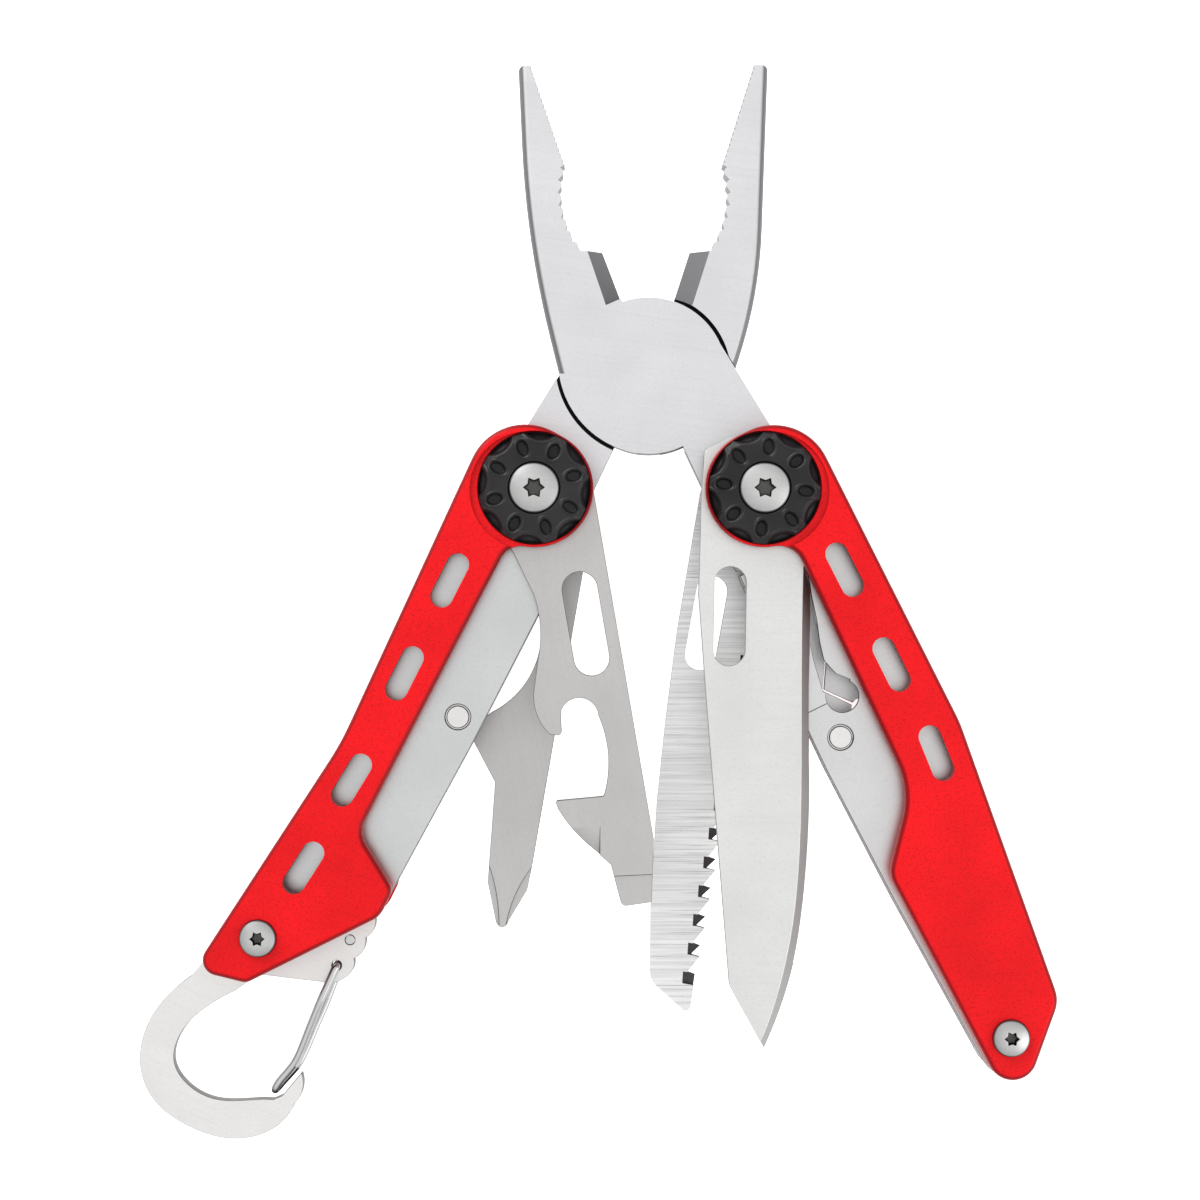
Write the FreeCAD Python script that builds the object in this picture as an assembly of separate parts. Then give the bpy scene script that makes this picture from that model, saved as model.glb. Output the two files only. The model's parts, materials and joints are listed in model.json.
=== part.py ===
"""Folding multi tool: pliers between two handles, four fold-out tools and a snap hook.

Every outline is drawn in the frame of the thing that it belongs to, in millimetres:
a handle frame starts at that handle's pivot and runs along the handle to its tail, with +y
towards the open side, where the tools swing out. A tool frame starts at the same pivot.
The jaws are drawn about the jaw rivet. Heights are measured up from the rear face, z = 0.
"""
import FreeCAD, Part
import math
import os

V = FreeCAD.Vector

# ---------------------------------------------------------------- driving dimensions
PIVOT_X = 16.15            # handle pivots, sideways from the jaw rivet
PIVOT_Y = -16.15           # and below it
LEFT_LEAN = 29.5           # how far each handle leans out from straight down, degrees
RIGHT_LEAN = 26.0
SAW_LEAN = -10.3           # the saw stands turned towards the middle

THICK = 20.0               # over the pivot screws
SCALE_OUT = 1.2            # the scale's outer face, in from the screw tops
SCALE_T = 2.6
TOOL_T = 2.0
LINER_T = 1.2
GAP = 0.1                  # running gap between layers

SCALE_TOP = THICK - SCALE_OUT
SCALE_LOW = SCALE_TOP - SCALE_T
TOOL_TOP = SCALE_LOW - GAP
TOOL_LOW = TOOL_TOP - TOOL_T
LINER_TOP = TOOL_LOW - GAP
LINER_LOW = LINER_TOP - LINER_T
JAW_TOP = LINER_LOW - GAP
JAW_LOW = THICK - JAW_TOP
MID = THICK / 2

HUB_R = 11.1               # the lapped hub
HUB_RECESS = 11.7
CAM_GAP = 0.55             # between a heel and the recess it moves away from
LAP_GAP = 0.03
RIVET_R = 3.0
RIVET_TOP = JAW_TOP - 0.8

SLEEVE_R = 2.5             # barrel that the handle turns on
FIT = 0.06                 # radial running clearance on a barrel
SHAFT_R = 1.5
KNOB_R = 7.85
KNOB_SEAT_R = 8.0
KNOB_SEAT = 1.4            # depth of the knob's seat in the scale
KNOB_T = 2.15
LEDGE = (0.7, -0.45)       # a shallow ledge beside the knob, set towards the tail
LEDGE_R = 8.3
LEDGE_DEPTH = 0.55
KNOB_HEAD_R = 3.65         # recess in the knob for the screw head
KNOB_HEAD_DEPTH = 1.0
PIVOT_HEAD_R = 3.5
PIVOT_HEAD_T = 1.45
STAR_R = 1.5
TAIL_SLEEVE_R = 1.9
TAIL_SHAFT_R = 1.2
TAIL_HEAD_R = 2.55
TAIL_HEAD_T = 2.0
TAIL_SEAT_R = 2.65
TAIL_STAR_R = 1.05

PLATE_T = 2.4              # snap hook plate
WIRE_R = 0.57
TAIL_L = (73.9, -2.6)      # tail screws, in their handle's frame
TAIL_R = (84.3, 2.8)
STUD_L = (33.45, 6.4)
STUD_R = (36.4, 5.55)
GATE_HOLE = (72.9, 8.75)
WIRE_HOLE = (68.8, 8.6)
WIRE_HOLE_R = 0.72

VIA = "via"                # marks the point that an arc passes through


# ---------------------------------------------------------------- frames and outlines
class Frame:
    """A flat frame: x runs along the part, y towards its open side."""

    def __init__(self, origin, lean, side):
        turn = math.radians(lean)
        self.origin = origin
        self.along = (-side * math.sin(turn), -math.cos(turn))
        self.across = (side * math.cos(turn), -math.sin(turn))

    def at(self, x, y, z=0.0):
        ox, oy = self.origin
        return V(ox + self.along[0] * x + self.across[0] * y,
                 oy + self.along[1] * x + self.across[1] * y, z)


LEFT = Frame((-PIVOT_X, PIVOT_Y), LEFT_LEAN, 1)
RIGHT = Frame((PIVOT_X, PIVOT_Y), RIGHT_LEAN, -1)
LEFT_TOOLS = Frame((-PIVOT_X, PIVOT_Y), 0.0, 1)
RIGHT_TOOLS = Frame((PIVOT_X, PIVOT_Y), 0.0, -1)
SAW_FRAME = Frame((PIVOT_X, PIVOT_Y), SAW_LEAN, -1)


class JawFrame:
    """The jaws' frame: x to the right, y up to the tips, from the jaw rivet."""

    def at(self, x, y, z=0.0):
        return V(x, y, z)


JAWS = JawFrame()


def rounded(before, corner, after, radius):
    """The two ends and the middle of the arc that rounds a corner."""
    u = (before - corner).normalize()
    v = (after - corner).normalize()
    half = u.getAngle(v) / 2
    run = radius / math.tan(half)
    bisector = (u + v).normalize()
    centre = corner + bisector * (radius / math.sin(half))
    return corner + u * run, centre - bisector * radius, corner + v * run


def outline(frame, points, z):
    """A closed wire. (x, y) is a corner, (x, y, r) a rounded one, (x, y, VIA) a point of an arc."""
    places = [frame.at(p[0], p[1], z) for p in points]
    count = len(points)
    starts, ends, edges = {}, {}, []
    for i, point in enumerate(points):
        starts[i] = ends[i] = places[i]
        if len(point) == 3 and point[2] != VIA:
            first, middle, last = rounded(places[i - 1], places[i], places[(i + 1) % count], point[2])
            edges.append(Part.Arc(first, middle, last).toShape())
            ends[i], starts[i] = first, last
    for i, point in enumerate(points):
        if point[-1] == VIA:
            continue
        j = (i + 1) % count
        if points[j][-1] == VIA:
            k = (j + 1) % count
            edges.append(Part.Arc(starts[i], places[j], ends[k]).toShape())
        elif (ends[j] - starts[i]).Length > 1e-6:
            edges.append(Part.LineSegment(starts[i], ends[j]).toShape())
    return Part.Wire(Part.__sortEdges__(edges))


def plate(frame, points, low, high):
    """An upright plate with the given outline, between two heights."""
    return Part.Face(outline(frame, points, low)).extrude(V(0, 0, high - low))


def drum(frame, x, y, radius, low, high):
    """An upright cylinder at (x, y), between two heights."""
    return Part.makeCylinder(radius, high - low, frame.at(x, y, low), V(0, 0, 1))


def slot(frame, x, y, length, width, tilt, low, high):
    """A straight slot with round ends, centred on (x, y) and tilted to the frame's x."""
    run = (length - width) / 2
    dx, dy = run * math.cos(math.radians(tilt)), run * math.sin(math.radians(tilt))
    nx, ny = -dy / run * width / 2, dx / run * width / 2
    points = [(x - dx + nx, y - dy + ny), (x + dx + nx, y + dy + ny),
              (x + dx * (1 + width / 2 / run), y + dy * (1 + width / 2 / run), VIA),
              (x + dx - nx, y + dy - ny), (x - dx - nx, y - dy - ny),
              (x - dx * (1 + width / 2 / run), y - dy * (1 + width / 2 / run), VIA)]
    return plate(frame, points, low, high)


def flipped(shape):
    """The same piece on the rear side: mirrored in the middle plane."""
    return shape.mirror(V(0, 0, MID), V(0, 0, 1))


def edges_at(shape, z, keep):
    """Edges that lie flat at height z and whose middle passes the test keep(point)."""
    found = []
    for edge in shape.Edges:
        box = edge.BoundBox
        if abs(box.ZMin - z) < 1e-4 and abs(box.ZMax - z) < 1e-4:
            first, last = edge.ParameterRange
            if keep(edge.valueAt((first + last) / 2)):
                found.append(edge)
    return found


# ---------------------------------------------------------------- pliers
SHOULDER = math.radians(31.5)       # slope of a shank's outer edge, tangent to the hub
SHOULDER_R = 11.0
SHANK_END = [(22.6, -15.8, 5.7), (17.2, -24.4, 6.0), (9.1, -18.9, 5.0), (4.75, -9.75, 0.8)]
FINE_TEETH = 18
FINE_DEPTH = 0.28
COARSE_TEETH = 7
COARSE_DEPTH = 0.5
COARSE_R = 13.5                     # the coarse teeth lie on this arc
CUTTER_EDGE_GAP = 0.12
JAW_BACK_ROUND = 1.1
JAW_BACK = (8.0, 42.0)              # the rounded stretch of a jaw's back, in height above the rivet
JAW_BACK_OUT = 12.9                 # it lies outside this line, which leans out towards the tip
JAW_BACK_LEAN = 0.1
JAW_TIP_ROUND = 0.8


def shank(side, low, high):
    start = (side * SHOULDER_R * math.cos(SHOULDER), SHOULDER_R * math.sin(SHOULDER))
    points = [start]
    points += [(side * x, y, r) for x, y, r in SHANK_END]
    points += [(0.0, -9.0), (0.0, 0.0)]
    return plate(JAWS, points, low, high)


def towards_middle(first, last, side):
    """Unit normal of the line from first to last that points to the other jaw."""
    length = math.dist(first, last)
    nx, ny = (last[1] - first[1]) / length, (first[0] - last[0]) / length
    return (-nx, -ny) if nx * side > 0 else (nx, ny)


def fine_teeth(tip, root, side):
    """A straight row of small pointed teeth from the tip down to the root."""
    nx, ny = towards_middle(tip, root, side)
    dx, dy = (root[0] - tip[0]) / FINE_TEETH, (root[1] - tip[1]) / FINE_TEETH
    points = []
    for i in range(FINE_TEETH):
        x, y = tip[0] + dx * i, tip[1] + dy * i
        points.append((x, y))
        points.append((x + dx / 2 - nx * FINE_DEPTH, y + dy / 2 - ny * FINE_DEPTH))
    points.append(root)
    return points


def coarse_teeth(first, last, side):
    """Round teeth on a hollow arc: each one an arc that rises from a notch."""
    nx, ny = towards_middle(first, last, side)
    rise = math.sqrt(COARSE_R ** 2 - math.dist(first, last) ** 2 / 4)
    cx = (first[0] + last[0]) / 2 + nx * rise
    cy = (first[1] + last[1]) / 2 + ny * rise
    start = math.atan2(first[1] - cy, first[0] - cx) % (2 * math.pi)
    end = math.atan2(last[1] - cy, last[0] - cx) % (2 * math.pi)
    if abs(end - start) > math.pi:
        end += math.copysign(2 * math.pi, start - end)
    step = (end - start) / COARSE_TEETH

    def on_arc(turns, depth):
        angle = start + step * turns
        return cx + (COARSE_R + depth) * math.cos(angle), cy + (COARSE_R + depth) * math.sin(angle)

    points = []
    for i in range(COARSE_TEETH):
        points.append(on_arc(i + 0.35, COARSE_DEPTH))
        points.append(on_arc(i + 0.62, -0.05) + (VIA,))
        points.append(on_arc(i + 1.0, 0.1))
    return points


def jaw(side, tip_out, tip_in, fine_root, coarse_end, cutter, heel, outer):
    """One jaw from its tip to inside the hub, full thickness, with its back rounded off."""
    points = [tip_in]
    points += fine_teeth(tip_in, fine_root, side)[1:]
    points += coarse_teeth(fine_root, coarse_end, side)
    points += cutter
    points += [(0.0, 5.0), (side * 5.0, 0.0), heel]
    points += outer
    solid = plate(JAWS, points + [tip_out], JAW_LOW, JAW_TOP)
    back = []

    def on_back(p):
        return JAW_BACK[0] < p.y < JAW_BACK[1] and p.x * side > JAW_BACK_OUT + JAW_BACK_LEAN * p.y

    for z in (JAW_TOP, JAW_LOW):
        back += edges_at(solid, z, on_back)
    solid = solid.makeFillet(JAW_BACK_ROUND, back)
    return solid.common(plate(JAWS, points + [tip_out + (JAW_TIP_ROUND,)], JAW_LOW, JAW_TOP))


PAST = 0.6          # how far a grinding wedge runs past the edge, as a share of the bevel
LIFT = 1.0          # and how far it stands above the face


def ground(frame, stations, face_z, edge_z):
    """The wedge ground off a plate. Stations pair a point of the bevel's upper line with its edge."""
    lift = face_z + math.copysign(LIFT, face_z - edge_z)
    drop = edge_z + (edge_z - face_z) * PAST
    sections = []
    for (fx, fy), (ex, ey) in stations:
        bx, by = ex + (ex - fx) * PAST, ey + (ey - fy) * PAST
        sections.append(Part.makePolygon([frame.at(fx, fy, face_z), frame.at(fx, fy, lift),
                                          frame.at(bx, by, lift), frame.at(bx, by, drop),
                                          frame.at(fx, fy, face_z)]))
    return Part.makeLoft(sections, True, len(stations) == 2)


def grind_both(solid, frame, stations, low, high, edge_half):
    """Grind a plate from both faces, which leaves an edge of twice edge_half."""
    middle = (low + high) / 2
    solid = solid.cut(ground(frame, stations, high, middle + edge_half))
    return solid.cut(ground(frame, stations, low, middle - edge_half))


FRONT_JAW = dict(side=-1, tip_out=(-18.55, 44.0), tip_in=(-16.75, 44.0), fine_root=(-11.95, 30.0),
                 coarse_end=(-9.95, 18.3), cutter=[(-9.6, 17.7), (-6.6, 17.7), (-4.0, 10.9)],
                 heel=(-12.75, 0.3), outer=[(-17.42, 19.0, 138.0)])
REAR_JAW = dict(side=1, tip_out=(16.95, 44.1), tip_in=(14.9, 44.1), fine_root=(10.45, 30.0),
                coarse_end=(8.95, 18.3), cutter=[(8.8, 17.7), (5.85, 17.7), (3.65, 10.9)],
                heel=(12.35, 1.05), outer=[(15.77, 11.4, 66.0)])
FRONT_CUTTER = [((-9.0, 18.5), (-6.9, 18.5)), ((-6.1, 10.0), (-4.0, 10.9))]
REAR_CUTTER = [((8.9, 18.5), (6.1, 18.5)), ((6.2, 10.0), (3.65, 10.9))]


HEEL = (12.75, 0.3)                 # outer end of a hub cam, where its jaw begins
CAM_MIDDLE = (9.6, -6.6)
CAM_END = (1.7, -11.05)             # where the cam runs into the round hub
DIAGONAL = 0.75                     # share of a gap that each coordinate takes on the cam's middle
SHOULDER_CUT = [(13.4, HEEL[1] + CAM_GAP), (10.9, 4.7), (8.0, 5.6)]
SHANK_GAP = (0.1, 0.06)             # a jaw stands this far off the other half's shank


def hub_cam(side, grow, low, high):
    """The part of a hub half that swells from the round hub out to its jaw's heel."""
    points = [(side * (HEEL[0] + grow), HEEL[1] + grow),
              (side * (CAM_MIDDLE[0] + DIAGONAL * grow), CAM_MIDDLE[1] - DIAGONAL * grow, VIA),
              (side * CAM_END[0], CAM_END[1] - grow), (0.0, 0.0)]
    return plate(JAWS, points, low, high)


def hub_recess(low, high):
    """The room that the other half's hub turns in."""
    room = drum(JAWS, 0, 0, HUB_RECESS, low, high)
    for side in (-1, 1):
        room = room.fuse(hub_cam(side, CAM_GAP, low, high))
    return room


def heel_room(side, low, high):
    """What a shank's shoulder gives up so that it can pass the other half's heel."""
    points = [(side * x, y) for x, y in SHOULDER_CUT]
    return plate(JAWS, points + [(0.0, 0.0)], low, high)


def half(form, low, high, cutter):
    """One half of the pliers: a jaw, its half of the lapped hub and the shank opposite."""
    side = form["side"]
    gap = V(side * SHANK_GAP[0], SHANK_GAP[1], 0)
    whole = jaw(**form).cut(shank(side, JAW_LOW, JAW_TOP).translated(gap))
    whole = whole.fuse(shank(-side, JAW_LOW, JAW_TOP).cut(heel_room(-side, 0, THICK)))
    roots = jaw(**form).fuse(shank(-side, JAW_LOW, JAW_TOP))
    own_layer = hub_recess(low, high).fuse(heel_room(-side, low, high)).fuse(heel_room(side, low, high))
    roots = roots.common(own_layer)
    solid = whole.cut(hub_recess(0, THICK)).fuse(roots)
    solid = solid.fuse(drum(JAWS, 0, 0, HUB_R, low, high)).fuse(hub_cam(side, 0, low, high))
    solid = grind_both(solid, JAWS, cutter, JAW_LOW, JAW_TOP, CUTTER_EDGE_GAP)
    solid = solid.cut(drum(JAWS, -side * PIVOT_X, PIVOT_Y, SLEEVE_R + FIT, 0, THICK))
    return solid.removeSplitter()


def front_jaw():
    solid = half(FRONT_JAW, MID + LAP_GAP, JAW_TOP, FRONT_CUTTER)
    return solid.cut(drum(JAWS, 0, 0, RIVET_R + FIT, JAW_LOW, RIVET_TOP + GAP))


def rear_jaw():
    solid = half(REAR_JAW, JAW_LOW, MID - LAP_GAP, REAR_CUTTER)
    return solid.cut(drum(JAWS, 0, 0, RIVET_R, 0, MID))


def jaw_rivet():
    return drum(JAWS, 0, 0, RIVET_R, JAW_LOW, RIVET_TOP)


# ---------------------------------------------------------------- scales and liners
SCALE_L = [(-8.3, 8.3, 8.2), (-8.1, -10.35, 8.2), (44.5, -6.0, 40.0), (82.3, -8.35, 2.2),
           (80.25, -0.95, 1.8), (62.95, 10.75, 3.2), (58.7, 10.5, 2.0), (54.2, 2.35, 3.6),
           (10.8, 0.75), (8.96, 1.33, VIA), (7.79, 2.85), (4.76, 6.8, VIA), (0.0, 8.3)]
SCALE_R = [(-8.3, 8.3, 8.2), (-8.1, -9.55, 8.2), (41.5, -10.2, 20.0), (82.6, -5.6, 4.5),
           (94.7, 6.9, 3.5), (56.3, 8.1, 4.0), (47.0, 0.2, 12.0), (11.43, -0.3), (9.26, 0.42, VIA),
           (7.97, 2.3), (4.94, 6.67, VIA), (0.0, 8.3)]
POCKET_L = [(-15, 20), (-15, -20), (4.0, -20), (4.5, -7.9), (44.5, -4.6), (69.3, -6.1), (69.3, 20)]
POCKET_R = [(-15, 20), (-15, -20), (4.0, -20), (4.5, -8.3), (41.5, -8.85), (80.4, -4.5), (80.4, 20)]
SLOTS_L = [(17.1, -3.9, 2.6), (31.55, -3.0, 2.6), (48.2, -2.1, -2.0), (62.2, -1.9, -3.2)]
SLOTS_R = [(15.2, -5.0, -1.0), (30.0, -5.1, -0.5), (43.9, -5.3, 4.0)]
SLOT_LENGTH = 8.15
SLOT_WIDTH = 3.2
SCALE_ROUND = 0.8
LINER_L = [(-8.0, 8.2, 7.8), (-7.9, -10.1, 7.9), (44.5, -5.75, 40.0), (82.0, -8.1, 2.2),
           (80.0, -0.95, 1.8), (62.9, 10.45, 3.2), (36.0, 10.0), (14.0, 9.15), (3.0, 8.2, 6.0)]
LINER_R = [(-8.1, 8.3, 7.8), (-7.9, -9.3, 7.9), (41.5, -9.95, 20.0), (82.5, -5.35, 4.5),
           (94.0, 7.1, 3.5), (61.0, 8.75), (40.0, 9.3), (34.0, 9.25), (9.0, 8.3), (4.0, 8.2, 6.0)]
STUD_TOP_R = 1.55
STUD_BASE_R = 1.85
STUD_GROOVE = 0.5


def front_scale(frame, form, pocket, slots, tail):
    """A handle scale with its outer wall, tail block, windows and screw seats."""
    solid = plate(frame, form, LINER_TOP, SCALE_TOP)
    solid = solid.makeFillet(SCALE_ROUND, edges_at(solid, SCALE_TOP, lambda p: True))
    solid = solid.cut(plate(frame, pocket, LINER_TOP - 1, SCALE_LOW))
    for x, y, tilt in slots:
        solid = solid.cut(slot(frame, x, y, SLOT_LENGTH, SLOT_WIDTH, tilt, 0, THICK))
    solid = solid.cut(drum(frame, 0, 0, KNOB_SEAT_R, SCALE_TOP - KNOB_SEAT, THICK))
    solid = solid.cut(drum(frame, LEDGE[0], LEDGE[1], LEDGE_R, SCALE_TOP - LEDGE_DEPTH, THICK))
    solid = solid.cut(drum(frame, 0, 0, SLEEVE_R, 0, THICK))
    solid = solid.cut(drum(frame, tail[0], tail[1], TAIL_SLEEVE_R, 0, THICK))
    return solid.cut(drum(frame, tail[0], tail[1], TAIL_SEAT_R, THICK - TAIL_HEAD_T, THICK))


def front_liner(frame, form, tail, stud):
    solid = plate(frame, form, LINER_LOW, LINER_TOP)
    solid = solid.cut(drum(frame, 0, 0, SLEEVE_R, 0, THICK))
    solid = solid.cut(drum(frame, tail[0], tail[1], TAIL_SLEEVE_R, 0, THICK))
    return solid.cut(drum(frame, stud[0], stud[1], STUD_BASE_R, 0, THICK))


def liner_studs(frame, stud):
    """A flush riveted stud in each liner, with a groove round its face."""
    x, y = stud
    front = drum(frame, x, y, STUD_BASE_R, LINER_LOW, LINER_TOP - STUD_GROOVE)
    front = front.fuse(drum(frame, x, y, STUD_TOP_R, LINER_LOW, LINER_TOP)).removeSplitter()
    return pair(front)


# ---------------------------------------------------------------- lock leaves
# the slit that frees each leaf; the front one widens to a round relief hole
FRONT_RELIEF = (31.25, 2.75, 2.35)
FRONT_CUT = [(8.95, -1.9), (16.9, 0.55), (20.0, 1.3), (23.0, 2.3), (25.6, 2.9, 1.5), (28.0, 2.2),
             (29.6, 0.7), (31.25, 2.75), (29.5, 4.95), (25.0, 4.2), (20.5, 3.05), (16.9, 0.95),
             (9.65, -1.45), (9.65, 12.0), (8.95, 12.0)]
FRONT_LEAF = [(9.3, 20.0), (9.3, -1.7), (16.9, 0.75), (20.0, 2.2), (25.0, 3.6), (31.25, 3.9),
              (31.25, 20.0)]
REAR_RELIEF = (34.3, 0.7, 1.3)
REAR_CUT = [(8.95, -1.9), (17.5, 0.1), (26.5, 2.45), (29.7, 4.35), (33.9, 0.9), (34.2, 1.05),
            (29.72, 4.62), (26.45, 2.62), (17.5, 0.26), (9.65, -1.58), (9.65, 12.0), (8.95, 12.0)]
REAR_LEAF = [(9.3, 20.0), (9.3, -1.73), (17.5, 0.18), (26.48, 2.53), (29.71, 4.5), (34.3, 0.9),
             (34.3, 20.0)]


def split_liner(liner, points, relief, block_points):
    """Cut the slit, then part the liner into its body and its lock leaf."""
    liner = liner.cut(plate(RIGHT, points, 0, THICK))
    liner = liner.cut(drum(RIGHT, relief[0], relief[1], relief[2], 0, THICK))
    block = plate(RIGHT, block_points, 0, THICK)
    return liner.cut(block), liner.common(block)


# ---------------------------------------------------------------- pivot and tail hardware
STAR_POINTS = 6
STAR_WAIST = 0.66
STAR_DEPTH = 1.1
SHAFT_END = MID + 0.4      # a screw's shaft stops short of its twin from the rear


def sleeve(frame, x, y, outer, bore, low, high):
    return drum(frame, x, y, outer, low, high).cut(drum(frame, x, y, bore, low - 1, high + 1))


def star(frame, x, y, radius, low, high):
    """A pointed driver recess."""
    points = []
    for i in range(2 * STAR_POINTS):
        reach = radius if i % 2 == 0 else radius * STAR_WAIST
        angle = math.pi / STAR_POINTS * i
        points.append((x + reach * math.cos(angle), y + reach * math.sin(angle)))
    return plate(frame, points, low, high)


def screw(frame, x, y, head_r, head_t, shaft_r, star_r):
    """A domed screw from its head at the top down to the middle of the sleeve."""
    base = THICK - head_t
    dome = head_t / 2
    dome_r = (head_r ** 2 + dome ** 2) / (2 * dome)
    head = drum(frame, x, y, head_r, base, THICK)
    head = head.common(Part.makeSphere(dome_r, frame.at(x, y, THICK - dome_r)))
    head = head.cut(star(frame, x, y, star_r, THICK - STAR_DEPTH, THICK + 1))
    return head.fuse(drum(frame, x, y, shaft_r, SHAFT_END, base)).removeSplitter()


def pair(shape):
    """A front piece and its twin at the rear, as two solids."""
    return Part.makeCompound([shape, flipped(shape)])


KNOB_RIM = 0.7             # chamfer round the knob's top
DIMPLES = 8
DIMPLE_AT = 5.7
DIMPLE_LENGTH = 2.5
DIMPLE_WIDTH = 1.7
DIMPLE_DEPTH = 0.35
HOLLOW_AT = 8.6
HOLLOW_R = 1.5
HOLLOW_DEPTH = 0.6
KNOB_TURN_L = 16.4         # angle of the first dimple
KNOB_TURN_R = -5.0


def front_knob(frame, turn):
    """A grip disc with oval dimples, and hollows between them round its bevelled rim."""
    low = SCALE_TOP - KNOB_SEAT
    high = low + KNOB_T
    centre = frame.at(0, 0)
    disc = drum(frame, 0, 0, KNOB_R, low, high)
    disc = disc.makeChamfer(KNOB_RIM, edges_at(disc, high, lambda p: True))
    for i in range(DIMPLES):
        angle = turn + 360 / DIMPLES * i
        x = centre.x + DIMPLE_AT * math.cos(math.radians(angle))
        y = centre.y + DIMPLE_AT * math.sin(math.radians(angle))
        disc = disc.cut(slot(JAWS, x, y, DIMPLE_LENGTH, DIMPLE_WIDTH, angle, high - DIMPLE_DEPTH, THICK))
        between = math.radians(angle + 180 / DIMPLES)
        x = centre.x + HOLLOW_AT * math.cos(between)
        y = centre.y + HOLLOW_AT * math.sin(between)
        disc = disc.cut(drum(JAWS, x, y, HOLLOW_R, high - HOLLOW_DEPTH, THICK))
    disc = disc.cut(drum(frame, 0, 0, KNOB_HEAD_R, high - KNOB_HEAD_DEPTH, THICK))
    return disc.cut(drum(frame, 0, 0, SHAFT_R, 0, high))


# ---------------------------------------------------------------- tools
KNIFE = [(2.0, 8.85), (15.0, 9.2), (30.0, 8.1), (70.0, 4.9, 1.5), (78.9, -0.05), (70.0, -3.4, VIA),
         (55.0, -5.85), (47.0, -6.35, VIA), (38.0, -6.4), (20.0, -6.55), (14.5, -6.75), (11.0, -5.7),
         (5.0, -7.0, 4.0), (-5.0, -7.0, 6.0), (-7.6, 4.0, 3.0), (-5.3, 8.4, 1.2)]
KNIFE_SLOT = (18.0, 4.8, 14.0, 4.5, 1.0)
KNIFE_GRIND = [((11.0, -5.6), (11.0, -6.2)), ((20.0, -5.35), (20.0, -6.55)), ((38.0, -5.28), (38.0, -6.4)),
               ((47.0, -5.15), (47.0, -6.35)), ((55.0, -4.75), (55.0, -5.85)), ((62.0, -3.95), (62.3, -5.0)),
               ((69.0, -2.5), (69.6, -3.5)), ((75.0, -0.7), (75.6, -1.5)), ((79.0, 1.0), (79.8, 0.3))]
EDGE_HALF = 0.05
OPENER = [(2.0, 8.6), (49.4, 16.8), (58.3, 16.5), (58.9, 12.3, 0.8), (53.0, 10.75), (51.0, 8.5),
          (49.0, 6.3, VIA), (45.2, 3.35), (44.0, 2.9, 0.3), (43.35, 9.8, 0.3), (38.2, 10.4, VIA),
          (32.0, 9.0), (29.5, 6.3, VIA), (31.3, 3.75), (33.0, 3.72), (34.9, 3.9, 0.6),
          (34.6, 2.1), (31.8, 0.3, VIA), (28.5, -0.1), (24.0, 0.5), (19.5, 0.8, VIA), (15.0, -0.1),
          (9.0, -3.0), (5.0, -6.5, 4.0), (-6.0, -6.5, 6.0), (-6.0, 7.2, 6.0)]
OPENER_SLOT = (19.05, 7.2, 14.8, 5.0, 9.8)
BLADE_TIP = [(54.2, 20), (54.9, 5), (62, 5), (62, 20)]      # the thinner flat driver tip
BLADE_STEP = 0.35
CLAW_GRIND = [((47.4, 2.0), (51.6, 2.0)), ((47.4, 9.2), (51.6, 9.2))]
CLAW_DEPTH = 1.1
DRIVER = [(2.0, 7.6, 5.0), (12.0, 6.7), (54.2, -0.6), (57.6, -1.3), (62.1, -4.0), (62.9, -4.8, VIA),
          (62.3, -5.8), (56.5, -7.0), (54.0, -6.8), (42.0, -5.9), (34.3, -9.95, 0.6),
          (31.9, -6.4), (27.0, -1.1, VIA), (18.0, 0.5), (8.0, -3.0), (4.0, -7.0, 4.0),
          (-6.0, -6.5, 6.0), (-6.0, 7.2, 6.0)]
FLUTE_RIGHT = [(54.0, -0.4), (58.0, -2.9, VIA), (62.6, -4.35), (66.0, -3.0), (60.0, 2.0)]
FLUTE_LEFT = [(53.4, -7.0), (58.0, -5.75, VIA), (62.6, -5.35), (66.0, -8.0), (56.0, -9.0)]
FLUTE_DEPTH = 0.65
SAW_BACK = [(2.0, 8.4), (21.8, 8.15), (34.9, 7.5), (46.9, 6.6), (61.9, 4.8), (72.3, 3.0, 2.5),
            (75.9, -2.9, 0.6), (75.2, -3.45)]
SAW_TANG = [(19.0, -3.4), (12.0, -4.2), (5.0, -7.0, 4.0), (-6.0, -6.5, 6.0), (-6.5, 7.5, 4.0)]
SAW_SLOT = (20.1, 4.2, 13.8, 4.5, 0.0)
TOOTH_PITCH = 4.22
TOOTH_COUNT = 12
LAST_TOOTH = 70.4
# one pitch, from a ground tooth at 0: its partner's tip, the notch between, its own tip, its root
TOOTH = [(1.55, -3.42), (1.43, -2.1), (0.0, -3.3), (-0.24, -2.05)]
FACET_TOP = -1.45
FACET_TILT = 0.2
FACET_TIP = -3.3
FACET_SPAN = (-0.25, 1.45)
FACET_EDGE = 0.3
REAR_LOW = THICK - TOOL_TOP
REAR_TOP = THICK - TOOL_LOW


def tool_blank(frame, points, low, high, opening=None):
    solid = plate(frame, points, low, high)
    if opening:
        x, y, length, width, tilt = opening
        solid = solid.cut(slot(frame, x, y, length, width, tilt, 0, THICK))
    return solid.cut(drum(frame, 0, 0, SLEEVE_R + FIT, 0, THICK))


def knife():
    """The knife: ground on both faces along its edge."""
    solid = tool_blank(RIGHT_TOOLS, KNIFE, TOOL_LOW, TOOL_TOP, KNIFE_SLOT)
    return grind_both(solid, RIGHT_TOOLS, KNIFE_GRIND, TOOL_LOW, TOOL_TOP, EDGE_HALF)


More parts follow.
